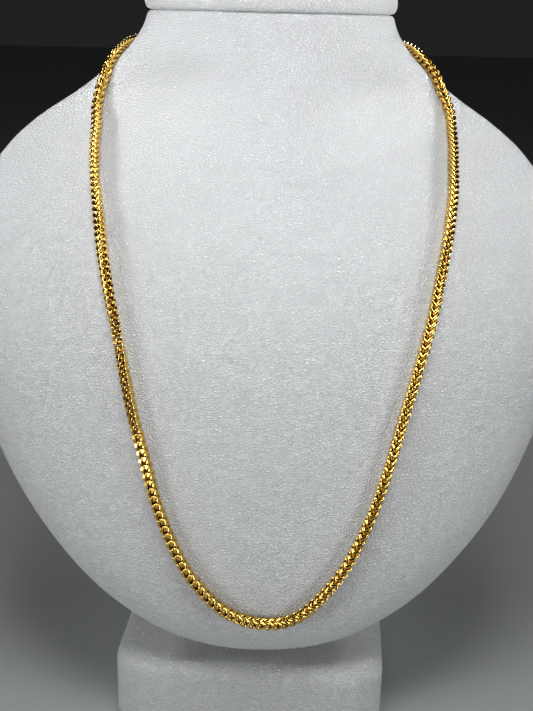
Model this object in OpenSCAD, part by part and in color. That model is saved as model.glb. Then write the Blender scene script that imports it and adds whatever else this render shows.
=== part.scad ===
// Square-section gold neck chain laid round a padded neck bust on a matching block.
// Millimetres. The origin is the centre of the block's underside, the front faces -Y, +Z is up.

/* [Bust] */
// Width of the chest at its widest
chest_w = 196; // [190:1:202]
// Height of the chest's lowest point above the floor
chest_low = 28.5; // [27:0.5:30]
// Height at which the chest is widest
chest_wide = 138; // [136:1:140]
// Height over which the chest's lower edge is rounded
edge_r = 13; // [10:1:15]
// Height of the neck's flat top
neck_top = 219; // [217:1:221]
// Squareness of the horizontal sections, 2 is an ellipse
section_power = 2.1; // [2:0.1:2.4]
// Depth of the back of the neck behind the origin
neck_back = 73; // [71:1:75]
// Depth of the leaning back, taken at lean_z
lean_y = -38; // [-40:0.5:-36]
// Height at which lean_y is taken
lean_z = 44; // [42:1:46]
// How far the back moves rearward for each millimetre of height
lean = 0.68; // [0.64:0.02:0.72]

/* [Neck cap] */
// Width of the cap
cap_w = 82.6; // [82:0.2:84]
// Depth of the cap from front to back
cap_d = 87; // [86:0.5:88]
// Depth position of the cap's centre
cap_y = 30.8; // [30:0.1:31.5]
// Height of the cap at its middle
cap_h = 13; // [10:1:16]

/* [Block and stem] */
// Width of the block
base_w = 86; // [82:1:90]
// Depth of the block
base_d = 106; // [102:1:110]
// Height of the block
base_h = 24; // [22:0.5:24]
// Rounding of the block's upright edges
base_r = 13; // [10:1:16]
// Rounding of the block's top edge
base_edge = 5; // [4:0.5:6]
// Turn of the block under the bust, in degrees
base_turn = -5; // [-6:0.5:0]
// Width of the stem
stem_w = 50; // [44:1:52]
// Front face of the stem
stem_front = -31; // [-32:0.5:-28]
// Back face of the stem
stem_back = 9; // [6:0.5:12]
// Rounding of the stem's upright edges
stem_r = 9; // [6:0.5:12]

/* [Chain] */
// Diameter of the round tube that stands for the chain's links
chain_d = 3.3; // [3:0.1:3.4]
// Distance from the bust to the chain's middle
chain_off = 2; // [1.9:0.05:2.2]

/* [Clasp] */
// Length of the clasp
clasp_l = 12.4; // [12:0.1:12.6]
// Diameter of the clasp
clasp_d = 4.6; // [4:0.1:5]
// Height of the clasp's axis
clasp_z = 210; // [209.5:0.5:210.5]
// Clearance between pieces that lie on each other
gap = 0.3; // [0.2:0.05:0.4]

/* [Hidden] */
leatherette = "whitesmoke";
gold = "goldenrod";

// Points round a bust section and a cap ring
section_points = 48;
// Steps round an upright rounded corner
corner_steps = 8;
// Rings from the chest's lowest point to its widest level
low_rings = 15;
// Rings from the widest level to the neck's top
high_rings = 17;
// Sides and rings of the chain's tube
chain_sides = 8;
chain_rings = 80;
// Share by which the flat of the back is widened, and the heights between which it fades
flat_gain = 0.12;
flat_from = 150;
flat_to = 200;
// Heights between which the leaning back turns upright into the neck
back_from = 170;
back_to = 210;
// Step used to measure the surface's direction, in millimetres and degrees
probe = 0.3;

// Half width of the shoulders above the widest level, columns: height, half width
SHOULDER = [
    [138, 98],
    [153, 97],
    [166, 93],
    [176, 86.5],
    [184, 77.5],
    [191, 67],
    [198, 57.5],
    [206, 48],
    [213, 42.5],
    [219, 40]
];

// Depth of the bust, columns: height, middle, front, share of the side wings, half width of the neck's swell
DEPTH = [
    [28.5, -47, -54, 1, 60],
    [44, -34.5, -58, 1, 60],
    [58, -25, -58.5, 1, 60],
    [78, -16, -55, 1, 60],
    [102, -7, -49, 1, 60],
    [122, -1, -43, 1, 60],
    [138, 5, -35.5, 0.95, 52],
    [152, 11, -27, 0.84, 46],
    [165, 19, -19.5, 0.62, 42],
    [176, 29, -15.5, 0.36, 40],
    [186, 38, -13, 0.25, 38],
    [197, 41, -12, 0.36, 36],
    [208, 35, -11.5, 0.7, 36],
    [219, 31, -11.5, 1, 36]
];

// Cap profile from its underside to its crown, columns: inset from the widest outline, height share
CAP = [
    [1.6, 0],
    [0.4, 0.07],
    [0, 0.22],
    [0.3, 0.42],
    [1.8, 0.62],
    [5, 0.8],
    [11, 0.92],
    [20, 0.98],
    [30, 1]
];

// Chain route over the chest, columns: sideways place, height
CHEST_ROUTE = [
    [-55.5, 191],
    [-56, 182.5],
    [-55.5, 174],
    [-53.5, 164],
    [-51, 154],
    [-48.5, 143.5],
    [-45, 131],
    [-42, 119],
    [-39, 106],
    [-35, 92.5],
    [-31, 79],
    [-25, 65.5],
    [-20.5, 58.5],
    [-13.5, 51],
    [-7, 47],
    [0, 45.5],
    [6.5, 46],
    [12, 49],
    [18, 55],
    [24, 63],
    [30.5, 76],
    [35.5, 90],
    [39.5, 103.5],
    [43.5, 117],
    [47.5, 129.5],
    [51, 141.5],
    [54.5, 153],
    [57.5, 163.5],
    [59.5, 173.5],
    [60.5, 182],
    [59.5, 189]
];

// Chain route round the neck, columns: turn in degrees (0 right, 90 front, 180 left, 270 back), height
LEFT_ROUTE = [
    [262.5, 210],
    [249, 210],
    [234, 209.5],
    [218, 209],
    [202, 208],
    [186, 206.5],
    [172, 203.5],
    [158, 198.5]
];
RIGHT_ROUTE = [
    [20, 197],
    [4, 203.5],
    [-8, 206.5],
    [-22, 208],
    [-38, 209],
    [-54, 209.5],
    [-69, 210],
    [-82.5, 210]
];

function row_below(tab, z, i = 0) =
    i >= len(tab) - 2 || z < tab[i + 1][0] ? i : row_below(tab, z, i + 1);

function row_slope(tab, col, i) =
    let (a = max(i - 1, 0), b = min(i + 1, len(tab) - 1))
    (tab[b][col] - tab[a][col]) / (tab[b][0] - tab[a][0]);

// Cubic between two values and two slopes, u runs from 0 to 1 over the length h
function cubic(v0, s0, v1, s1, h, u) =
    (2 * u^3 - 3 * u^2 + 1) * v0 + (u^3 - 2 * u^2 + u) * h * s0
    + (3 * u^2 - 2 * u^3) * v1 + (u^3 - u^2) * h * s1;

// Smooth value of a table's column at a height
function smooth(tab, col, z) =
    let (i = row_below(tab, z), h = tab[i + 1][0] - tab[i][0])
    cubic(tab[i][col], row_slope(tab, col, i), tab[i + 1][col], row_slope(tab, col, i + 1), h, (z - tab[i][0]) / h);

function clamp01(v) = min(1, max(0, v));
function power(v, n) = sign(v) * pow(abs(v), n);

// The chest's lower outline is half an ellipse, the shoulders follow their table
function half_width(z) =
    z < chest_wide
    ? chest_w / 2 * sqrt(clamp01(1 - pow((chest_wide - z) / (chest_wide - chest_low), 2)))
    : smooth(SHOULDER, 1, z) * chest_w / (2 * SHOULDER[0][1]);

function lean_at(z) = lean_y + lean * (z - lean_z);
function back_at(z) =
    z < back_from ? lean_at(z)
    : cubic(lean_at(back_from), lean, neck_back, 0, back_to - back_from,
            clamp01((z - back_from) / (back_to - back_from)));

// Surface of the bust at a height and a turn round it
function skin(z, t) =
    let (
        edge = sqrt(clamp01(1 - pow(1 - clamp01((z - chest_low) / edge_r), 2))),
        tip = DEPTH[0][1],
        mid = tip + (smooth(DEPTH, 1, z) - tip) * edge,
        front = tip + (smooth(DEPTH, 2, z) - tip) * edge,
        back = tip + (back_at(z) - tip) * edge,
        wing = smooth(DEPTH, 3, z),
        swell = smooth(DEPTH, 4, z),
        round_in = pow(abs(sin(t)), 2 / section_power),
        flat = 1 + flat_gain * (1 - clamp01((z - flat_from) / (flat_to - flat_from))),
        x = half_width(z) * power(cos(t), 2 / section_power),
        bell = exp(-pow(x / swell, 2)) * min(1, 3 * abs(sin(t)))
    )
    [
        x,
        sin(t) >= 0
        ? mid - (mid - front) * (wing * round_in + (1 - wing) * bell)
        : mid + (back - mid) * min(1, flat * round_in),
        z
    ];

function unit(v) = v / norm(v);
function outward(z, t) =
    unit(cross(skin(z + probe, t) - skin(z - probe, t), skin(z, t + probe) - skin(z, t - probe)));

// Turn round the bust of a place on the chest's front
function turn_of(x, z) = acos(sign(x) * pow(abs(x) / half_width(z), section_power / 2));

ROUTE = concat(
    LEFT_ROUTE,
    [for (p = CHEST_ROUTE) [turn_of(p[0], p[1]), p[1]]],
    RIGHT_ROUTE
);

// Even curve through the route's rows, u counts rows
function route_at(u) =
    let (
        n = len(ROUTE),
        i = min(n - 2, floor(u)),
        f = u - i,
        a = ROUTE[max(0, i - 1)],
        b = ROUTE[i],
        c = ROUTE[i + 1],
        d = ROUTE[min(n - 1, i + 2)]
    )
    0.5 * (2 * b + (c - a) * f + (2 * a - 5 * b + 4 * c - d) * f^2 + (3 * b - a - 3 * c + d) * f^3);

function chain_middle(u) =
    let (p = route_at(u))
    skin(p[1], p[0]) + chain_off * outward(p[1], p[0]);

// Triangles between two neighbouring rings of n points
function band(first, n) = [
    for (i = [0:n - 1], k = [0, 1])
    let (j = (i + 1) % n)
    k == 0 ? [first + i, first + n + i, first + j] : [first + j, first + n + i, first + n + j]
];

// Closed skin over a list of rings, the last one flat and the first one flat
module lofted(rings) {
    n = len(rings[0]);
    m = len(rings);
    polyhedron(
        points = [for (r = rings, p = r) p],
        faces = concat(
            [[for (i = [0:n - 1]) i]],
            [for (r = [0:m - 2], f = band(r * n, n)) f],
            [[for (i = [n - 1:-1:0]) (m - 1) * n + i]]
        )
    );
}

// Outline of a rectangle with rounded corners, inset all round and centred on the depth y
function rounded_plan(w, d, r, inset = 0, y = 0) = [
    for (corner = [0:3], step = [0:corner_steps])
    let (
        a = 90 * (corner + step / corner_steps),
        sx = corner == 0 || corner == 3 ? 1 : -1,
        sy = corner < 2 ? 1 : -1
    )
    [sx * (w / 2 - r) + (r - inset) * cos(a), y + sy * (d / 2 - r) + (r - inset) * sin(a)]
];

module bust() {
    low_z = [for (i = [1:low_rings]) chest_wide - (chest_wide - chest_low) * cos(90 * i / low_rings)];
    high_z = [for (i = [1:high_rings]) chest_wide + (neck_top - chest_wide) * i / high_rings];
    tip = [0, DEPTH[0][1], chest_low];
    rings = [
        for (z = concat(low_z, high_z))
        [for (i = [0:section_points - 1]) skin(z, -360 * i / section_points)]
    ];
    n = section_points;
    m = len(rings);
    color(leatherette)
    polyhedron(
        points = concat([tip], [for (r = rings, p = r) p]),
        faces = concat(
            [for (i = [0:n - 1]) [0, 1 + i, 1 + (i + 1) % n]],
            [for (r = [0:m - 2], f = band(1 + r * n, n)) f],
            [[for (i = [n - 1:-1:0]) 1 + (m - 1) * n + i]]
        )
    );
}

module neck_cap() {
    color(leatherette)
    lofted([
        for (row = CAP)
        [
            for (i = [0:section_points - 1])
            let (t = 360 * i / section_points)
            [(cap_w / 2 - row[0]) * cos(t), cap_y + (cap_d / 2 - row[0]) * sin(t), neck_top + cap_h * row[1]]
        ]
    ]);
}

// Upright column whose top follows the bust's leaning back
module stem() {
    plan = rounded_plan(stem_w, stem_back - stem_front, stem_r, 0, (stem_front + stem_back) / 2);
    play = gap * norm([1, lean]) / lean;
    foot = [for (p = plan) [p[0], p[1], base_h]];
    head = [for (p = plan) [p[0], p[1], lean_z + (p[1] - lean_y) / lean - play]];
    color(leatherette)
    lofted([foot, head]);
}

module base() {
    foot_edge = 0.8;
    steps = 5;
    profile = concat(
        [[foot_edge, 0]],
        [[0, foot_edge]],
        [
            for (i = [0:steps])
            let (a = 90 * i / steps)
            [base_edge * (1 - cos(a)), base_h - base_edge * (1 - sin(a))]
        ]
    );
    color(leatherette)
    rotate([0, 0, base_turn])
    lofted([
        for (row = profile)
        [for (p = rounded_plan(base_w, base_d, base_r, row[0])) [p[0], p[1], row[1]]]
    ]);
}

// Tube round the chain's whole route, from one end of the clasp to the other
module chain() {
    last = len(ROUTE) - 1;
    rings = [
        for (k = [0:chain_rings - 1])
        let (
            u = last * k / (chain_rings - 1),
            p = route_at(u),
            away = outward(p[1], p[0]),
            ahead = unit(chain_middle(min(last, u + 0.02)) - chain_middle(max(0, u - 0.02))),
            side = unit(cross(ahead, away)),
            up = cross(side, ahead)
        )
        [
            for (i = [0:chain_sides - 1])
            let (a = 360 * (i + 0.5) / chain_sides)
            chain_middle(u) + chain_d / 2 * (cos(a) * side + sin(a) * up)
        ]
    ];
    color(gold)
    lofted(rings);
}

// Plain barrel between the chain's two ends, behind the neck
module clasp() {
    shoulder = 2;
    mouth_d = 3.4;
    color(gold)
    translate([0, skin(clasp_z, 270)[1] + gap + clasp_d / 2, clasp_z])
    rotate([0, 90, 0])
    rotate_extrude($fn = 48)
    polygon([
        [0, -clasp_l / 2],
        [mouth_d / 2, -clasp_l / 2],
        [clasp_d / 2, -clasp_l / 2 + shoulder],
        [clasp_d / 2, clasp_l / 2 - shoulder],
        [mouth_d / 2, clasp_l / 2],
        [0, clasp_l / 2]
    ]);
}

bust();
neck_cap();
stem();
base();
chain();
clasp();
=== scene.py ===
"""Gold double curb chain on a white leatherette neck bust."""

from math import cos, pi, radians, sin

import bpy
import numpy as np
from bpy.props import FloatProperty, FloatVectorProperty, IntProperty, PointerProperty
from bpy.types import Operator, Panel, PropertyGroup
from mathutils import Matrix, Vector


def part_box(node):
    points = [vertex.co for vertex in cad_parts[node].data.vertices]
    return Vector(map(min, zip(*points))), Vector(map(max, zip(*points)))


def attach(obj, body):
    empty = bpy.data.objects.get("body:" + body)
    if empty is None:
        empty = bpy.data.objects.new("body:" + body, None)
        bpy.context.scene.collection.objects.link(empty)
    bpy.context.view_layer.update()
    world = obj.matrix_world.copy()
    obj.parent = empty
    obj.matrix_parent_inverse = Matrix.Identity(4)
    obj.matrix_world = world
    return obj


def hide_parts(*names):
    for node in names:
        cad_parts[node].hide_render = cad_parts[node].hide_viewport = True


bl_info = {
    "name": "Chain on a Neck Bust",
    "version": (1, 0, 0),
    "blender": (4, 5, 0),
    "location": "View3D > Sidebar > Chain",
    "description": "Builds a gold double curb chain that lies round a padded neck bust",
    "category": "Object",
}

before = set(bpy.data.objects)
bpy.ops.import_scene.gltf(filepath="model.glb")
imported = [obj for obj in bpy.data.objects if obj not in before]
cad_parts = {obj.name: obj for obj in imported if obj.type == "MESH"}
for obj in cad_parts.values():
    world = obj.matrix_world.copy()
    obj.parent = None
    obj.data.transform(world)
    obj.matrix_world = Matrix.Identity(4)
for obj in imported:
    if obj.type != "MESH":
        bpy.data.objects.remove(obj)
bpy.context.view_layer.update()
MM = 0.001

# Depth of the leatherette's grain and of the gold's polishing marks, in metres
GRAIN_DEPTH = 0.0005
POLISH_DEPTH = 0.00002

# The bust, in millimetres from the centre of the block's underside
# Heights of the widest place, the lowest point and the top of the neck
WIDEST = 138.0
LOWEST = 28.5
NECK_TOP = 219.0
# Half of the greatest width, and how far up the lower edge is rounded
HALF_CHEST = 98.0
EDGE = 13.0
# Exponent of the horizontal sections, 2 is an ellipse
SQUARENESS = 2.1
# Leaning back: height, depth there, depth gained for each millimetre of height
LEAN = (44.0, -38.0, 0.68)
# Back of the neck: height where the lean ends, height where the neck is upright, depth
NECK_BACK = (170.0, 210.0, 73.0)
# Flat of the back: heights between which it fades, share by which it is widened
BACK_FLAT = (150.0, 200.0, 0.12)

# Shoulders: height, half width
SHOULDER = np.array([
    (138, 98), (153, 97), (166, 93), (176, 86.5), (184, 77.5),
    (191, 67), (198, 57.5), (206, 48), (213, 42.5), (219, 40),
], float)

# Depth: height, middle, front, share of the side wings, half width of the neck's swell
DEPTH = np.array([
    (28.5, -47, -54, 1, 60), (44, -34.5, -58, 1, 60), (58, -25, -58.5, 1, 60), (78, -16, -55, 1, 60),
    (102, -7, -49, 1, 60), (122, -1, -43, 1, 60), (138, 5, -35.5, 0.95, 52), (152, 11, -27, 0.84, 46),
    (165, 19, -19.5, 0.62, 42), (176, 29, -15.5, 0.36, 40), (186, 38, -13, 0.25, 38),
    (197, 41, -12, 0.36, 36), (208, 35, -11.5, 0.7, 36), (219, 31, -11.5, 1, 36),
], float)

# Neck cap from its underside to its crown: inset from the widest outline, height
CAP = (
    (2.2, 0), (0.9, 0.5), (0.25, 1.5), (0, 3.0), (0.2, 5.0), (1.1, 7.2),
    (3.0, 9.4), (6.6, 11.2), (12, 12.3), (20, 12.8), (30, 13),
)
# Cap: width, depth from front to back, depth of its centre
CAP_SIZE = (82.6, 87.0, 30.8)

# Block: width, depth, height, upright rounding, top rounding, turn in degrees
BLOCK = (86.0, 106.0, 24.0, 13.0, 5.0, -5.0)
# Stem: width, front face, back face, upright rounding
STEM = (50.0, -31.0, 9.0, 9.0)

# Chain route over the chest: sideways place, height
CHEST_ROUTE = (
    (-55.5, 191), (-56, 182.5), (-55.5, 174), (-53.5, 164), (-51, 154), (-48.5, 143.5), (-45, 131), (-42, 119),
    (-39, 106), (-35, 92.5), (-31, 79), (-25, 65.5), (-20.5, 58.5), (-13.5, 51), (-7, 47), (0, 45.5),
    (6.5, 46), (12, 49), (18, 55), (24, 63), (30.5, 76), (35.5, 90), (39.5, 103.5), (43.5, 117),
    (47.5, 129.5), (51, 141.5), (54.5, 153), (57.5, 163.5), (59.5, 173.5), (60.5, 182), (59.5, 189),
)

# Chain route round the neck: turn in degrees, height
LEFT_ROUTE = (
    (262.5, 210), (249, 210), (234, 209.5), (218, 209), (202, 208), (186, 206.5), (172, 203.5), (158, 198.5),
)
RIGHT_ROUTE = (
    (20, 197), (4, 203.5), (-8, 206.5), (-22, 208), (-38, 209), (-54, 209.5), (-69, 210), (-82.5, 210),
)

# How far the chain's chevron face is rolled towards the inside of the loop: row of the whole route, degrees
ROLL = (
    (0, 270), (7, 275), (8, 255), (9, 240), (10, 220), (11, 185), (12, 152), (13, 132), (14, 120),
    (15, 84), (16, 84), (17, 74), (18, 74), (19, 79), (22, 80), (23, 70), (24, 65), (25, 55), (26, 45),
    (28, 25), (30, 10), (32, 5), (34, -5), (36, -5), (38, 15), (39, 30), (46, 90),
)


def slopes(table, column):
    """Slope at each row, from its neighbours."""
    low = np.maximum(np.arange(len(table)) - 1, 0)
    high = np.minimum(np.arange(len(table)) + 1, len(table) - 1)
    return (table[high, column] - table[low, column]) / (table[high, 0] - table[low, 0])


def cubic(v0, s0, v1, s1, length, u):
    """Cubic between two values with two slopes."""
    return (
        (2 * u**3 - 3 * u**2 + 1) * v0 + (u**3 - 2 * u**2 + u) * length * s0
        + (3 * u**2 - 2 * u**3) * v1 + (u**3 - u**2) * length * s1
    )


def smooth(table, column, height):
    """Smooth value of a table's column at each height."""
    row = np.clip(np.searchsorted(table[:, 0], height, side="right") - 1, 0, len(table) - 2)
    slope = slopes(table, column)
    length = table[row + 1, 0] - table[row, 0]
    u = (height - table[row, 0]) / length
    return cubic(table[row, column], slope[row], table[row + 1, column], slope[row + 1], length, u)


def power(value, exponent):
    """Power that keeps the value's sign."""
    return np.sign(value) * np.abs(value) ** exponent


def half_width(height):
    """Half of the bust's width at each height."""
    chest = HALF_CHEST * np.sqrt(np.clip(1 - ((WIDEST - height) / (WIDEST - LOWEST)) ** 2, 0, 1))
    return np.where(height < WIDEST, chest, smooth(SHOULDER, 1, np.maximum(height, WIDEST)))


def back_depth(height):
    """Depth of the bust's back at each height."""
    leaning = LEAN[1] + LEAN[2] * (height - LEAN[0])
    start, end, neck = NECK_BACK
    u = np.clip((height - start) / (end - start), 0, 1)
    upper = cubic(LEAN[1] + LEAN[2] * (start - LEAN[0]), LEAN[2], neck, 0.0, end - start, u)
    return np.where(height < start, leaning, upper)


def skin(height, turn):
    """Points on the bust at heights in millimetres and turns in radians, the front at a quarter turn."""
    height, turn = np.broadcast_arrays(np.asarray(height, float), np.asarray(turn, float))
    edge = np.sqrt(np.clip(1 - (1 - np.clip((height - LOWEST) / EDGE, 0, 1)) ** 2, 0, 1))
    tip = DEPTH[0, 1]
    middle = tip + (smooth(DEPTH, 1, height) - tip) * edge
    front = tip + (smooth(DEPTH, 2, height) - tip) * edge
    back = tip + (back_depth(height) - tip) * edge
    wing = smooth(DEPTH, 3, height)
    swell = smooth(DEPTH, 4, height)
    round_in = np.abs(np.sin(turn)) ** (2 / SQUARENESS)
    start, end, gain = BACK_FLAT
    flat = 1 + gain * (1 - np.clip((height - start) / (end - start), 0, 1))
    x = half_width(height) * power(np.cos(turn), 2 / SQUARENESS)
    bell = np.exp(-((x / swell) ** 2)) * np.minimum(1, 3 * np.abs(np.sin(turn)))
    y = np.where(
        np.sin(turn) >= 0,
        middle - (middle - front) * (wing * round_in + (1 - wing) * bell),
        middle + (back - middle) * np.minimum(1, flat * round_in),
    )
    return np.stack([x, y, height], -1)


def unit(v):
    """Directions of length one."""
    return v / np.linalg.norm(v, axis=-1, keepdims=True)


def outward(height, turn):
    """Direction straight out of the bust."""
    rise, swing = 0.3, 0.005
    up = skin(height + rise, turn) - skin(height - rise, turn)
    along = skin(height, turn + swing) - skin(height, turn - swing)
    return unit(np.cross(up, along))


def spline(rows, u):
    """Even curve through rows of numbers, u counts rows."""
    rows = np.asarray(rows, float)
    last = len(rows) - 1
    i = np.clip(np.floor(u).astype(int), 0, last - 1)
    f = (u - i)[:, None]
    a, b = rows[np.maximum(i - 1, 0)], rows[i]
    c, d = rows[i + 1], rows[np.minimum(i + 2, last)]
    return 0.5 * (2 * b + (c - a) * f + (2 * a - 5 * b + 4 * c - d) * f**2 + (3 * b - a - 3 * c + d) * f**3)


def rings_mesh(name, rings, material):
    """Smooth skin over rings of points, in millimetres, closed with a fan at each end."""
    rings = np.asarray(rings, float)
    m, n = rings.shape[:2]
    points = np.vstack([rings.reshape(-1, 3), rings[0].mean(0), rings[-1].mean(0)])
    i, j = np.meshgrid(np.arange(m - 1), np.arange(n), indexing="ij")
    k = (j + 1) % n
    quads = np.stack([i * n + j, i * n + k, (i + 1) * n + k, (i + 1) * n + j], -1).reshape(-1, 4)
    faces = quads.tolist()
    first_hub, last_hub, last_ring = m * n, m * n + 1, (m - 1) * n
    faces += [(first_hub, (q + 1) % n, q) for q in range(n)]
    faces += [(last_hub, last_ring + q, last_ring + (q + 1) % n) for q in range(n)]
    mesh = bpy.data.meshes.new(name)
    mesh.from_pydata((points * MM).tolist(), [], faces)
    mesh.polygons.foreach_set("use_smooth", [True] * len(mesh.polygons))
    mesh.materials.append(material)
    mesh.update()
    piece = bpy.data.objects.new(name, mesh)
    bpy.context.scene.collection.objects.link(piece)
    return piece


def rounded_plan(width, depth, rounding, inset, y, height, turn=0.0):
    """Ring of a rectangle with rounded corners, finely divided along its straight sides too."""
    steps = 12
    rounding = max(rounding - inset, 0.5)
    half = (width / 2 - inset - rounding, depth / 2 - inset - rounding)
    ring = []
    for corner in range(4):
        sx, sy = (1, -1, -1, 1)[corner], (1, 1, -1, -1)[corner]
        for step in range(steps + 1):
            a = pi / 2 * (corner + step / steps)
            ring.append((sx * half[0] + rounding * cos(a), y + sy * half[1] + rounding * sin(a)))
        nx, ny = (-1, -1, 1, 1)[corner], (1, -1, -1, 1)[corner]
        a = pi / 2 * (corner + 1)
        end = (nx * half[0] + rounding * cos(a), y + ny * half[1] + rounding * sin(a))
        start = ring[-1]
        for step in range(1, steps):
            f = step / steps
            ring.append((start[0] + (end[0] - start[0]) * f, start[1] + (end[1] - start[1]) * f))
    c, s = cos(radians(turn)), sin(radians(turn))
    return [(x * c - yy * s, x * s + yy * c, height) for x, yy in ring]


# Materials


def add(tree, kind, place, **inputs):
    """Node of a kind at a place, with plain values for its inputs."""
    node = tree.nodes.new(kind)
    node.location = place
    for key, value in inputs.items():
        node.inputs[key.replace("_", " ")].default_value = value
    return node


def math_node(tree, operation, place, first, second):
    """Output of a Math node, each input a number or a socket."""
    node = tree.nodes.new("ShaderNodeMath")
    node.operation = operation
    node.location = place
    for socket, value in zip(node.inputs, (first, second)):
        if isinstance(value, (int, float)):
            socket.default_value = value
        else:
            tree.links.new(value, socket)
    return node.outputs[0]


def mix_colours(tree, place, factor, first, second):
    """Output of a Mix node for colours, each input a value or a socket."""
    node = tree.nodes.new("ShaderNodeMix")
    node.data_type = "RGBA"
    node.location = place
    for socket, value in ((node.inputs[0], factor), (node.inputs[6], first), (node.inputs[7], second)):
        if isinstance(value, (int, float, tuple)):
            socket.default_value = value
        else:
            tree.links.new(value, socket)
    return node.outputs[2]


def new_group(name, inputs, outputs):
    """Empty shader group with named inputs (name, type, default) and outputs (name, type)."""
    group = bpy.data.node_groups.new(name, "ShaderNodeTree")
    for label, kind, value in inputs:
        socket = group.interface.new_socket(label, in_out="INPUT", socket_type=kind)
        socket.default_value = value
    for label, kind in outputs:
        group.interface.new_socket(label, in_out="OUTPUT", socket_type=kind)
    start = group.nodes.new("NodeGroupInput")
    start.location = (-1400, 0)
    end = group.nodes.new("NodeGroupOutput")
    end.location = (700, 0)
    return group, start, end


def leatherette_group():
    """Pebbled grain with fine creases, faint clouding and painted shade in the valleys between the pebbles."""
    name = "Leatherette grain"
    if name in bpy.data.node_groups:
        return bpy.data.node_groups[name]
    group, start, end = new_group(
        name,
        (
            ("Colour", "NodeSocketColor", (0.8, 0.8, 0.8, 1)),
            ("Valley shade colour", "NodeSocketColor", (0.6, 0.62, 0.64, 1)),
            ("Pebbles per metre", "NodeSocketFloat", 1200.0),
            ("Roughness", "NodeSocketFloat", 0.5),
        ),
        (("Colour", "NodeSocketColor"), ("Roughness", "NodeSocketFloat"), ("Height", "NodeSocketFloat")),
    )
    links = group.links
    object_place = add(group, "ShaderNodeTexCoord", (-1600, -300))
    place = group.nodes.new("ShaderNodeVectorMath")
    place.operation = "MULTIPLY"
    place.location = (-1400, -300)
    # The pebbles are wider than they are high.
    place.inputs[1].default_value = (0.55, 0.55, 1.0)
    links.new(object_place.outputs["Object"], place.inputs[0])
    warp = add(group, "ShaderNodeTexNoise", (-1150, -450), Scale=420.0, Detail=1.0)
    links.new(place.outputs[0], warp.inputs["Vector"])
    push = group.nodes.new("ShaderNodeVectorMath")
    push.operation = "MULTIPLY_ADD"
    push.location = (-900, -350)
    push.inputs[1].default_value = (0.0005, 0.0005, 0.0005)
    links.new(warp.outputs["Color"], push.inputs[0])
    links.new(place.outputs[0], push.inputs[2])
    pebbles = group.nodes.new("ShaderNodeTexVoronoi")
    pebbles.feature = "DISTANCE_TO_EDGE"
    pebbles.location = (-650, -200)
    links.new(push.outputs[0], pebbles.inputs["Vector"])
    links.new(start.outputs["Pebbles per metre"], pebbles.inputs["Scale"])
    domes = group.nodes.new("ShaderNodeMapRange")
    domes.interpolation_type = "SMOOTHSTEP"
    domes.location = (-400, -200)
    domes.inputs["From Max"].default_value = 0.38
    links.new(pebbles.outputs["Distance"], domes.inputs["Value"])
    creases = add(group, "ShaderNodeTexNoise", (-650, -500), Detail=3.0, Roughness=0.65, Distortion=0.5)
    links.new(place.outputs[0], creases.inputs["Vector"])
    creases_scale = math_node(group, "MULTIPLY", (-900, -600), start.outputs["Pebbles per metre"], 0.9)
    links.new(creases_scale, creases.inputs["Scale"])
    height = math_node(
        group, "ADD", (-100, -300),
        math_node(group, "MULTIPLY", (-250, -200), domes.outputs["Result"], 0.7),
        math_node(group, "MULTIPLY", (-250, -450), creases.outputs["Fac"], 0.4),
    )
    clouds = add(group, "ShaderNodeTexNoise", (-650, 200), Scale=18.0, Detail=3.0)
    links.new(place.outputs[0], clouds.inputs["Vector"])
    # Painted shade: the valleys between the pebbles and creases take the darker valley colour, with faint random
    # clouding mixed in.
    shade = math_node(
        group, "ADD", (-100, 100),
        math_node(group, "MULTIPLY", (-250, 100), height, 0.9),
        math_node(group, "MULTIPLY", (-250, 250), clouds.outputs["Fac"], 0.15),
    )
    tint = mix_colours(group, (150, 200), shade, start.outputs["Valley shade colour"], start.outputs["Colour"])
    rough = math_node(
        group, "ADD", (350, 0), start.outputs["Roughness"],
        math_node(group, "MULTIPLY", (150, 0), math_node(group, "SUBTRACT", (0, 0), 0.6, height), 0.22),
    )
    links.new(tint, end.inputs["Colour"])
    links.new(rough, end.inputs["Roughness"])
    links.new(height, end.inputs["Height"])
    return group


def gold_group():
    """Warm and darker gold in turn at random, with painted shade in the recesses and faint polishing lines."""
    name = "Polished gold wear"
    if name in bpy.data.node_groups:
        return bpy.data.node_groups[name]
    group, start, end = new_group(
        name,
        (
            ("Colour", "NodeSocketColor", (0.9, 0.6, 0.2, 1)),
            ("Deep and shade colour", "NodeSocketColor", (0.5, 0.25, 0.05, 1)),
            ("Recess shade", "NodeSocketFloat", 0.0),
            ("Roughness", "NodeSocketFloat", 0.15),
        ),
        (("Colour", "NodeSocketColor"), ("Roughness", "NodeSocketFloat"), ("Height", "NodeSocketFloat")),
    )
    links = group.links
    place = add(group, "ShaderNodeTexCoord", (-1400, -300))
    clouds = add(group, "ShaderNodeTexNoise", (-1000, -100), Scale=700.0, Detail=2.0)
    links.new(place.outputs["Object"], clouds.inputs["Vector"])
    lines = add(group, "ShaderNodeTexNoise", (-1000, -400), Scale=5000.0, Detail=2.0, Distortion=1.5)
    links.new(place.outputs["Object"], lines.inputs["Vector"])
    # Painted shade: the recess value pulls the gold towards its darker colour, together with random darker
    # clouding.
    deep_and_shade = math_node(
        group, "ADD", (-500, 100), start.outputs["Recess shade"],
        math_node(group, "MULTIPLY", (-750, -50), clouds.outputs["Fac"], 0.25),
    )
    deep_and_shade = math_node(group, "MINIMUM", (-300, 100), deep_and_shade, 1.0)
    tint = mix_colours(group, (0, 150), deep_and_shade, start.outputs["Colour"], start.outputs["Deep and shade colour"])
    rough = math_node(
        group, "ADD", (0, -50), start.outputs["Roughness"],
        math_node(group, "MULTIPLY", (-250, -150), lines.outputs["Fac"], 0.08),
    )
    links.new(tint, end.inputs["Colour"])
    links.new(rough, end.inputs["Roughness"])
    swell = math_node(group, "MULTIPLY", (0, -250), clouds.outputs["Fac"], 4.0)
    links.new(math_node(group, "ADD", (250, -250), swell, lines.outputs["Fac"]), end.inputs["Height"])
    return group


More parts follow.
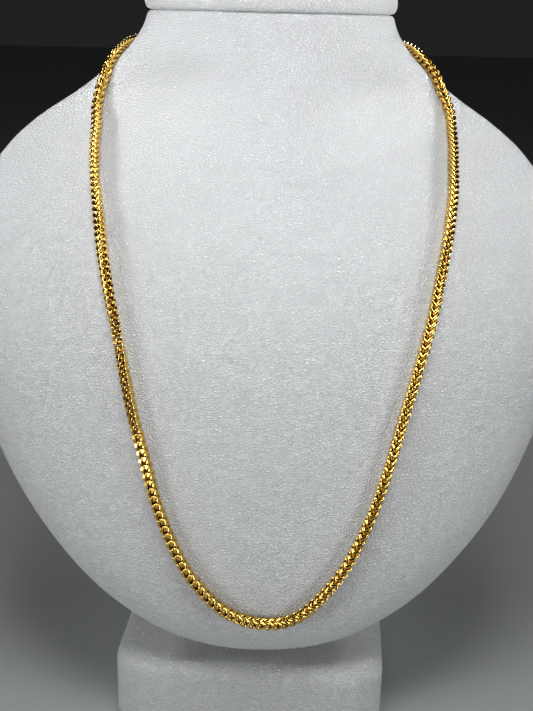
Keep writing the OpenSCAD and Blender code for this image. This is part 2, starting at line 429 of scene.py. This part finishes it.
def new_material(name):
    """New material with its node tree and its shader."""
    material = bpy.data.materials.new(name)
    material.use_nodes = True
    shader = material.node_tree.nodes["Principled BSDF"]
    return material, material.node_tree, shader


def leatherette(context, name):
    """White leatherette, finished for one piece."""
    if name in bpy.data.materials:
        return bpy.data.materials[name]
    look = context.scene.neck_bust
    material, tree, shader = new_material(name)
    grain = tree.nodes.new("ShaderNodeGroup")
    grain.node_tree = leatherette_group()
    grain.location = (-500, 100)
    grain.inputs["Colour"].default_value = (*look.colour, 1)
    grain.inputs["Valley shade colour"].default_value = (*look.valley_shade, 1)
    grain.inputs["Pebbles per metre"].default_value = look.pebbles
    grain.inputs["Roughness"].default_value = 0.5
    bump = add(tree, "ShaderNodeBump", (-250, -200), Strength=1.0, Distance=GRAIN_DEPTH)
    tree.links.new(grain.outputs["Colour"], shader.inputs["Base Color"])
    tree.links.new(grain.outputs["Roughness"], shader.inputs["Roughness"])
    tree.links.new(grain.outputs["Height"], bump.inputs["Height"])
    tree.links.new(bump.outputs["Normal"], shader.inputs["Normal"])
    shader.inputs["Specular IOR Level"].default_value = 0.42
    shader.inputs["Sheen Weight"].default_value = 0.06
    shader.inputs["Sheen Roughness"].default_value = 0.4
    return material


def gold(context, name, roughness, recess_shade_attribute=""):
    """Polished yellow gold, with shade painted darker where the piece's recess attribute says so."""
    if name in bpy.data.materials:
        return bpy.data.materials[name]
    look = context.scene.neck_chain
    material, tree, shader = new_material(name)
    gold_tone = tree.nodes.new("ShaderNodeGroup")
    gold_tone.node_tree = gold_group()
    gold_tone.location = (-500, 100)
    gold_tone.inputs["Colour"].default_value = (*look.colour, 1)
    gold_tone.inputs["Deep and shade colour"].default_value = (*look.deep_and_shade, 1)
    gold_tone.inputs["Roughness"].default_value = roughness
    if recess_shade_attribute:
        recess_shade = tree.nodes.new("ShaderNodeAttribute")
        recess_shade.attribute_name = recess_shade_attribute
        recess_shade.location = (-750, 0)
        tree.links.new(recess_shade.outputs["Fac"], gold_tone.inputs["Recess shade"])
    bump = add(tree, "ShaderNodeBump", (-250, -200), Strength=0.25, Distance=POLISH_DEPTH)
    tree.links.new(gold_tone.outputs["Colour"], shader.inputs["Base Color"])
    tree.links.new(gold_tone.outputs["Roughness"], shader.inputs["Roughness"])
    tree.links.new(gold_tone.outputs["Height"], bump.inputs["Height"])
    tree.links.new(bump.outputs["Normal"], shader.inputs["Normal"])
    shader.inputs["Metallic"].default_value = 1.0
    return material


# Settings


class NeckBustSettings(PropertyGroup):
    colour: FloatVectorProperty(
        name="Leatherette", description="Colour of the leatherette on the bust and its block",
        subtype="COLOR", size=3, min=0, max=1, default=(0.87, 0.875, 0.88),
    )
    # The valley colour is painted shade between the leatherette's pebbles.
    valley_shade: FloatVectorProperty(
        name="Grain valleys", description="Colour between the leatherette's pebbles",
        subtype="COLOR", size=3, min=0, max=1, default=(0.56, 0.58, 0.6),
    )
    pebbles: FloatProperty(
        name="Pebbles per metre", description="How fine the leatherette's grain is",
        default=1600.0, min=300.0, max=4000.0,
    )
    softness: FloatProperty(
        name="Padding unevenness", description="How far the padding swells and sinks by hand stuffing",
        default=0.00025, min=0.0, max=0.002, unit="LENGTH",
    )


class ChainSettings(PropertyGroup):
    pitch: FloatProperty(
        name="Link pitch", description="Length of chain that one pair of rings takes up",
        default=0.00236, min=0.002, max=0.003, unit="LENGTH",
    )
    width: FloatProperty(
        name="Chevron face", description="Width of the chain over its chevron face, before it is filed",
        default=0.0036, min=0.003, max=0.0037, unit="LENGTH",
    )
    wire: FloatProperty(
        name="Wire", description="Thickness of the wire that the rings are bent from",
        default=0.00098, min=0.0005, max=0.001, unit="LENGTH",
    )
    segments: IntProperty(name="Ring segments", description="Segments round each ring", default=32, min=16, max=40)
    sides: IntProperty(name="Wire sides", description="Sides of each ring's wire", default=12, min=8, max=12)
    colour: FloatVectorProperty(
        name="Gold", description="Colour of the polished gold",
        subtype="COLOR", size=3, min=0, max=1, default=(0.91, 0.63, 0.165),
    )
    # The darker gold is both a random tone of the gold and the colour of the painted shade in the links' recesses.
    deep_and_shade: FloatVectorProperty(
        name="Deep gold", description="Colour of the gold in its recesses",
        subtype="COLOR", size=3, min=0, max=1, default=(0.42, 0.2, 0.035),
    )


class StageSettings(PropertyGroup):
    floor: FloatVectorProperty(
        name="Floor", description="Colour of the plain floor",
        subtype="COLOR", size=3, min=0, max=1, default=(0.48, 0.5, 0.5),
    )
    overhead: FloatProperty(
        name="Overhead", description="Power of the light overhead",
        default=0.5, min=0, max=100, unit="POWER",
    )
    above: FloatProperty(
        name="Above", description="Power of the light above the front",
        default=0.85, min=0, max=100, unit="POWER",
    )
    front: FloatProperty(
        name="Front", description="Power of the light in front",
        default=0.075, min=0, max=50, unit="POWER",
    )
    left: FloatProperty(
        name="Left", description="Power of the light on the left",
        default=0.18, min=0, max=50, unit="POWER",
    )
    right: FloatProperty(
        name="Right", description="Power of the light on the right",
        default=0.155, min=0, max=50, unit="POWER",
    )
    back: FloatProperty(
        name="Back", description="Power of the light behind the bust",
        default=0.07, min=0, max=50, unit="POWER",
    )
    neck: FloatProperty(
        name="Neck", description="Power of each small light on a side of the neck",
        default=0.04, min=0, max=50, unit="POWER",
    )


# Operators


class NECKCHAIN_OT_camera(Operator):
    """Set up the camera at the height and angle from which the bust is seen"""

    bl_idname = "neckchain.camera"
    bl_label = "Camera"

    def execute(self, context):
        place = Vector((-7.78, -338.93, 219.26)) * MM
        pitch, turn, roll = radians(17.87), radians(1.42), radians(1.45)
        ahead = Vector((sin(turn) * cos(pitch), cos(turn) * cos(pitch), -sin(pitch)))
        right = Vector((cos(turn), -sin(turn), 0))
        up = right.cross(ahead)
        right, up = right * cos(roll) + up * sin(roll), up * cos(roll) - right * sin(roll)
        # Focal length in pixels of a picture 533 pixels wide
        focal, picture_width = 1068, 533
        camera = bpy.data.objects.new("camera", bpy.data.cameras.new("camera"))
        context.scene.collection.objects.link(camera)
        camera.matrix_world = Matrix((
            (right.x, up.x, -ahead.x, place.x),
            (right.y, up.y, -ahead.y, place.y),
            (right.z, up.z, -ahead.z, place.z),
            (0, 0, 0, 1),
        ))
        camera.data.sensor_fit = "HORIZONTAL"
        camera.data.sensor_width = 36.0
        camera.data.lens = focal / picture_width * camera.data.sensor_width
        camera.data.clip_start = 0.01
        camera.data.clip_end = 50.0
        context.scene.camera = camera
        return {"FINISHED"}


def ripple(points, amount):
    """Slow swells of hand stuffed padding, between -amount and amount."""
    x, y, z = points[..., 0], points[..., 1], points[..., 2]
    wave = np.sin(x * 0.071 + 0.9) * np.sin(z * 0.063 + 0.4) + 0.6 * np.sin(x * 0.13 + z * 0.09 + y * 0.05)
    return amount * wave / 1.6


class NECKCHAIN_OT_bust(Operator):
    """Build the padded form with its neck, shoulders and rounded chest"""

    bl_idname = "neckchain.bust"
    bl_label = "Bust"

    def execute(self, context):
        around = np.linspace(0, 2 * pi, 193)[:-1]
        low = WIDEST - (WIDEST - LOWEST) * np.cos(np.linspace(0, pi / 2, 61)[1:])
        high = np.linspace(WIDEST, NECK_TOP - 1.2, 60)[1:]
        heights = np.concatenate([low, high])
        rings = skin(heights[:, None], around[None, :])
        outer = outward(heights[:, None], around[None, :])
        calm = np.clip((heights - LOWEST) / 20, 0, 1) * np.clip((NECK_TOP - heights) / 20, 0, 1)
        swell = ripple(rings, context.scene.neck_bust.softness / MM) * calm[:, None]
        rings = rings + outer * swell[..., None]
        # The leatherette rolls in where the cap sits on it.
        centre = np.array([0, CAP_SIZE[2], 0])
        for inset, drop in ((0.25, 0.6), (0.8, 0.25), (1.8, 0.0)):
            ring = skin(NECK_TOP - drop, around)
            ring[:, :2] -= unit(ring[:, :2] - centre[:2]) * inset
            rings = np.concatenate([rings, ring[None]])
        material = leatherette(context, "leatherette_bust")
        piece = rings_mesh("bust_skin", rings[:, ::-1], material)
        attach(piece, "root")
        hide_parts("bust")
        return {"FINISHED"}


class NECKCHAIN_OT_neck_cap(Operator):
    """Build the round padded cap that closes the top of the neck"""

    bl_idname = "neckchain.neck_cap"
    bl_label = "Neck cap"

    def execute(self, context):
        profile = spline(CAP, np.linspace(0, len(CAP) - 1, 51))
        around = np.linspace(0, 2 * pi, 161)[:-1]
        width, depth, y = CAP_SIZE
        rings = np.stack([
            np.stack([
                (width / 2 - inset) * np.cos(around),
                y + (depth / 2 - inset) * np.sin(around),
                np.full_like(around, NECK_TOP + height),
            ], -1)
            for inset, height in profile
        ])
        piece = rings_mesh("neck_cap_pad", rings, leatherette(context, "leatherette_cap"))
        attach(piece, "root")
        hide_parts("neck_cap")
        return {"FINISHED"}


class NECKCHAIN_OT_stand(Operator):
    """Build the stem behind the chest and the padded block that it stands on"""

    bl_idname = "neckchain.stand"
    bl_label = "Stem and block"

    def execute(self, context):
        width, depth, height, rounding, top, turn = BLOCK
        rows = [(0.8, 0.0), (0.25, 0.25), (0.0, 0.8)]
        rows += [(0.0, z) for z in np.linspace(4, height - top - 2, 5)]
        rows += [(top * (1 - cos(a)), height - top * (1 - sin(a))) for a in np.linspace(0, pi / 2, 13)]
        rows += [(inset, height + 0.25 * (inset - top) / 34) for inset in (8, 12, 18, 26, 34, 41)]
        rings = [rounded_plan(width, depth, rounding, inset, 0, z, turn) for inset, z in rows]
        block = rings_mesh("block_pad", rings, leatherette(context, "leatherette_block"))
        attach(block, "root")
        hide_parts("base")

        stem_width, front, back, stem_round = STEM
        middle = (front + back) / 2
        rings = []
        plan = rounded_plan(stem_width, back - front, stem_round, 0, middle, 0)
        # The stem's top follows the leaning back, a clearance below it.
        clearance = 0.3
        play = clearance * (1 + LEAN[2] ** 2) ** 0.5 / LEAN[2]
        for share in np.linspace(0, 1, 25):
            rings.append([
                (x, y, height + (LEAN[0] + (y - LEAN[1]) / LEAN[2] - play - height) * share) for x, y, _ in plan
            ])
        stem = rings_mesh("stem_cover", rings, leatherette(context, "leatherette_stem"))
        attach(stem, "root")
        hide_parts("stem")
        return {"FINISHED"}


def chain_route():
    """Surface points, outward directions and roll angles, closely spaced along the chain's route."""
    chest = np.array(CHEST_ROUTE, float)
    ratio = np.sign(chest[:, 0]) * (np.abs(chest[:, 0]) / half_width(chest[:, 1])) ** (SQUARENESS / 2)
    rows = np.vstack([LEFT_ROUTE, np.column_stack([np.degrees(np.arccos(ratio)), chest[:, 1]]), RIGHT_ROUTE])
    u = np.linspace(0, len(rows) - 1, 6001)
    turn, height = spline(rows, u).T
    turn = np.radians(turn)
    roll_rows = np.array(ROLL, float)
    roll = np.radians(np.interp(u, roll_rows[:, 0], roll_rows[:, 1]))
    return skin(height, turn), outward(height, turn), roll


def double_ring(width, wire, segments, sides):
    """Points across, out and along of a link of two mirrored curb rings, its faces, and which are filed."""
    half_long, half_thick, lean, squareness = 1.66, 1.0, 0.7, 2.2
    # The wire is a little thinner than its nominal size, and broader on the chevron faces.
    drawn, broadening = 0.98, 0.2
    across = width / 2 - lean - wire / 2

    def middle(t):
        return np.stack([
            across + lean * np.sin(2 * t),
            half_thick * power(np.sin(t), 2 / squareness),
            half_long * power(np.cos(t), 2 / squareness),
        ], -1)

    # Even steps along the ring
    fine = np.linspace(0, 2 * pi, 2001)
    steps = np.concatenate([[0], np.cumsum(np.linalg.norm(np.diff(middle(fine), axis=0), axis=1))])
    t = np.interp(np.linspace(0, steps[-1], segments + 1)[:-1], steps, fine)
    centre = middle(t)
    ahead = unit(np.roll(centre, -1, 0) - np.roll(centre, 1, 0))
    flat = unit(np.array([1.0, 0, 0]) - ahead * ahead[:, :1])
    out = np.cross(ahead, flat)
    a = np.linspace(0, 2 * pi, sides + 1)[:-1] + pi / sides
    broad = wire / 2 * (drawn + broadening * np.sin(t) ** 6)
    ring = (
        centre[:, None]
        + flat[:, None] * (broad[:, None] * np.cos(a))[..., None]
        + out[:, None] * (wire / 2 * drawn * np.sin(a))[None, :, None]
    )
    # The finished chain is filed flat: this much off each curb face, and down to this much above
    # the middle of the wire on each chevron face.
    off_side, above_middle = 0.3, 0.42
    reach = np.array([width / 2 - off_side, half_thick + above_middle])
    filed = np.abs(ring[..., :2]) >= reach
    ring[..., :2] = np.clip(ring[..., :2], -reach, reach)
    i, j = np.meshgrid(np.arange(segments), np.arange(sides), indexing="ij")
    i2, j2 = (i + 1) % segments, (j + 1) % sides
    quads = np.stack([i * sides + j, i * sides + j2, i2 * sides + j2, i2 * sides + j], -1).reshape(-1, 4)
    points = ring.reshape(-1, 3)
    mirrored = points * (-1, 1, 1)
    flats = filed.reshape(-1, 2)[quads].all(1).any(1)
    return np.vstack([points, mirrored]), np.vstack([quads[:, ::-1], quads + len(points)]), np.tile(flats, 2)


def links_mesh(name, points, quads, flats, recess_shade, material):
    """Mesh of many links, smooth but for their filed flats."""
    mesh = bpy.data.meshes.new(name)
    mesh.vertices.add(len(points))
    mesh.vertices.foreach_set("co", (points * MM).ravel())
    mesh.loops.add(quads.size)
    mesh.loops.foreach_set("vertex_index", quads.ravel())
    mesh.polygons.add(len(quads))
    mesh.polygons.foreach_set("loop_start", np.arange(0, quads.size, 4))
    mesh.polygons.foreach_set("use_smooth", ~flats)
    mesh.update(calc_edges=True)
    mesh.validate()
    # The recess attribute says where shade is painted onto the gold.
    mesh.attributes.new("recess_shade", "FLOAT", "POINT").data.foreach_set("value", recess_shade.astype(np.float32))
    mesh.materials.append(material)
    piece = bpy.data.objects.new(name, mesh)
    bpy.context.scene.collection.objects.link(piece)
    return piece


class NECKCHAIN_OT_chain(Operator):
    """Build the chain's interlocking double rings along its route round the neck and over the chest"""

    bl_idname = "neckchain.chain"
    bl_label = "Chain"

    def execute(self, context):
        look = context.scene.neck_chain
        width = look.width / MM
        surface, normal, roll = chain_route()
        # A square chain lies closer to the bust on its flat than on its corner.
        half_out, half_across, clear, most = 1.4, 1.5, 0.1, 2.15
        lift = half_out * np.abs(np.cos(roll)) + half_across * np.abs(np.sin(roll)) + clear
        lift = np.minimum(lift, most)
        path = surface + normal * lift[:, None]
        steps = np.concatenate([[0], np.cumsum(np.linalg.norm(np.diff(path, axis=0), axis=1))])
        # Kept free at each end, for the clasp
        margin = 0.7
        count = int(round((steps[-1] - 2 * margin) / (look.pitch / MM)))
        places = np.linspace(margin, steps[-1] - margin, count + 1)
        places = (places[1:] + places[:-1]) / 2

        def along(values, s):
            return np.stack([np.interp(s, steps, values[:, k]) for k in range(3)], -1)

        centre = along(path, places)
        ahead = unit(along(path, places + 0.6) - along(path, places - 0.6))
        normal = along(normal, places)
        normal = unit(normal - ahead * (normal * ahead).sum(-1, keepdims=True))
        inward = np.cross(normal, ahead)
        angle = np.interp(places, steps, roll)[:, None]
        face = normal * np.cos(angle) + inward * np.sin(angle)
        side = np.cross(face, ahead)
        link, quads, flats = double_ring(width, look.wire / MM, look.segments, look.sides)
        # Points well inside all four faces get painted shade, darker the further they lie among the link's
        # recesses.
        nearness = np.maximum(np.abs(link[:, 0]) / (width / 2), np.abs(link[:, 1]) / half_out)
        recess_shade = np.clip((0.8 - nearness) / 0.4, 0, 1)
        points = (
            centre[:, None]
            + side[:, None] * link[None, :, :1]
            + face[:, None] * link[None, :, 1:2]
            + ahead[:, None] * link[None, :, 2:]
        )
        material = gold(context, "gold_links", 0.1, "recess_shade")
        half = count // 2
        for name, first, last in (("chain_links_left", 0, half), ("chain_links_right", half, count)):
            n = last - first
            part = points[first:last].reshape(-1, 3)
            faces = (quads[None] + (np.arange(n) * len(link))[:, None, None]).reshape(-1, 4)
            piece = links_mesh(name, part, faces, np.tile(flats, n), np.tile(recess_shade, n), material)
            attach(piece, "root")
            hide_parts("chain")
        return {"FINISHED"}


class NECKCHAIN_OT_clasp(Operator):
    """Build the plain barrel that joins the chain's two ends behind the neck"""

    bl_idname = "neckchain.clasp"
    bl_label = "Clasp"

    def execute(self, context):
        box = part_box("clasp")
        centre = [(low + high) / 2 / MM for low, high in zip(*box)]
        # Half of the barrel: place along it, radius
        rows = (
            (-6.2, 0.9), (-6.2, 1.45), (-6.0, 1.7), (-5.0, 1.95), (-4.2, 2.22),
            (-3.8, 2.3), (-3.3, 2.3), (-3.1, 2.2), (-2.9, 2.3),
        )
        rows += tuple((-x, r) for x, r in reversed(rows))
        around = np.linspace(0, 2 * pi, 49)[:-1]
        rings = [
            np.stack([
                np.full_like(around, centre[0] + x),
                centre[1] + r * np.cos(around),
                centre[2] + r * np.sin(around),
            ], -1)
            for x, r in rows
        ]
        material = gold(context, "gold_clasp", 0.12)
        piece = rings_mesh("clasp_barrel", rings, material)
        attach(piece, "root")
        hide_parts("clasp")
        return {"FINISHED"}


def area_light(name, place, target, size, spread, power):
    """Soft light at a place, turned to a target, all in metres. Spread in degrees, power in watts."""
    light = bpy.data.lights.new(name, "AREA")
    light.shape = "RECTANGLE"
    light.size, light.size_y = size
    light.spread = radians(spread)
    light.energy = power
    lamp = bpy.data.objects.new(name, light)
    lamp.location = place
    lamp.rotation_euler = (Vector(target) - Vector(place)).to_track_quat("-Z", "Y").to_euler()
    bpy.context.scene.collection.objects.link(lamp)


class NECKCHAIN_OT_stage(Operator):
    """Lay the plain floor and hang the soft lights"""

    bl_idname = "neckchain.stage"
    bl_label = "Stage"

    def execute(self, context):
        look = context.scene.chain_stage
        mesh = bpy.data.meshes.new("floor")
        reach = 6.0
        corners = [(-reach, -reach, 0), (reach, -reach, 0), (reach, reach, 0), (-reach, reach, 0)]
        mesh.from_pydata(corners, [], [(0, 1, 2, 3)])
        floor = bpy.data.objects.new("floor", mesh)
        context.scene.collection.objects.link(floor)
        material, tree, shader = new_material("plain_floor")
        speckle = add(tree, "ShaderNodeTexNoise", (-500, 100), Scale=40.0, Detail=4.0)
        paint = tuple(look.floor)
        tint = mix_colours(tree, (-250, 100), speckle.outputs["Fac"], (*(c * 0.97 for c in paint), 1), (*paint, 1))
        tree.links.new(tint, shader.inputs["Base Color"])
        shader.inputs["Roughness"].default_value = 0.8
        mesh.materials.append(material)
        area_light("overhead_light", (0, 0, 0.7), (0, 0, 0.12), (0.25, 0.25), 180, look.overhead)
        area_light("above_light", (0, -0.2, 0.5), (0, -0.03, 0.12), (0.22, 0.12), 180, look.above)
        area_light("front_light", (0, -0.6, 0.3), (0, 0, 0.17), (0.25, 0.12), 40, look.front)
        area_light("back_light", (0, 0.7, 0.35), (0, 0.05, 0.16), (0.25, 0.2), 20, look.back)
        for name, side, power in (("left", -1, look.left), ("right", 1, look.right)):
            area_light(f"{name}_light", (0.45 * side, -0.3, 0.08), (0, -0.03, 0.13), (0.15, 0.15), 80, power)
            place, target = (0.5 * side, -0.1, 0.24), (0.03 * side, 0.02, 0.205)
            area_light(f"{name}_neck_light", place, target, (0.15, 0.1), 20, look.neck)
        world = bpy.data.worlds.new("soft_room")
        world.use_nodes = True
        world.node_tree.nodes["Background"].inputs["Color"].default_value = (0.75, 0.75, 0.75, 1)
        world.node_tree.nodes["Background"].inputs["Strength"].default_value = 0.02
        context.scene.world = world
        context.scene.view_settings.view_transform = "Standard"
        return {"FINISHED"}


class NECKCHAIN_PT_panel(Panel):
    """Sizes and colours, and a button for each piece"""

    bl_label = "Chain on a Neck Bust"
    bl_idname = "NECKCHAIN_PT_panel"
    bl_space_type = "VIEW_3D"
    bl_region_type = "UI"
    bl_category = "Chain"

    def draw(self, context):
        for settings in (context.scene.neck_bust, context.scene.neck_chain, context.scene.chain_stage):
            box = self.layout.box()
            for key in settings.__annotations__:
                box.prop(settings, key)
        for operator in OPERATORS:
            self.layout.operator(operator.bl_idname)


SETTINGS = (NeckBustSettings, ChainSettings, StageSettings)
OPERATORS = (
    NECKCHAIN_OT_camera,
    NECKCHAIN_OT_bust,
    NECKCHAIN_OT_neck_cap,
    NECKCHAIN_OT_stand,
    NECKCHAIN_OT_chain,
    NECKCHAIN_OT_clasp,
    NECKCHAIN_OT_stage,
)
CLASSES = (*SETTINGS, *OPERATORS, NECKCHAIN_PT_panel)


def register():
    for cls in CLASSES:
        bpy.utils.register_class(cls)
    bpy.types.Scene.neck_bust = PointerProperty(type=NeckBustSettings)
    bpy.types.Scene.neck_chain = PointerProperty(type=ChainSettings)
    bpy.types.Scene.chain_stage = PointerProperty(type=StageSettings)


def unregister():
    del bpy.types.Scene.neck_bust
    del bpy.types.Scene.neck_chain
    del bpy.types.Scene.chain_stage
    for cls in reversed(CLASSES):
        bpy.utils.unregister_class(cls)


def main():
    register()
    for operator in OPERATORS:
        family, name = operator.bl_idname.split(".")
        getattr(getattr(bpy.ops, family), name)()


if __name__ == "__main__":
    main()
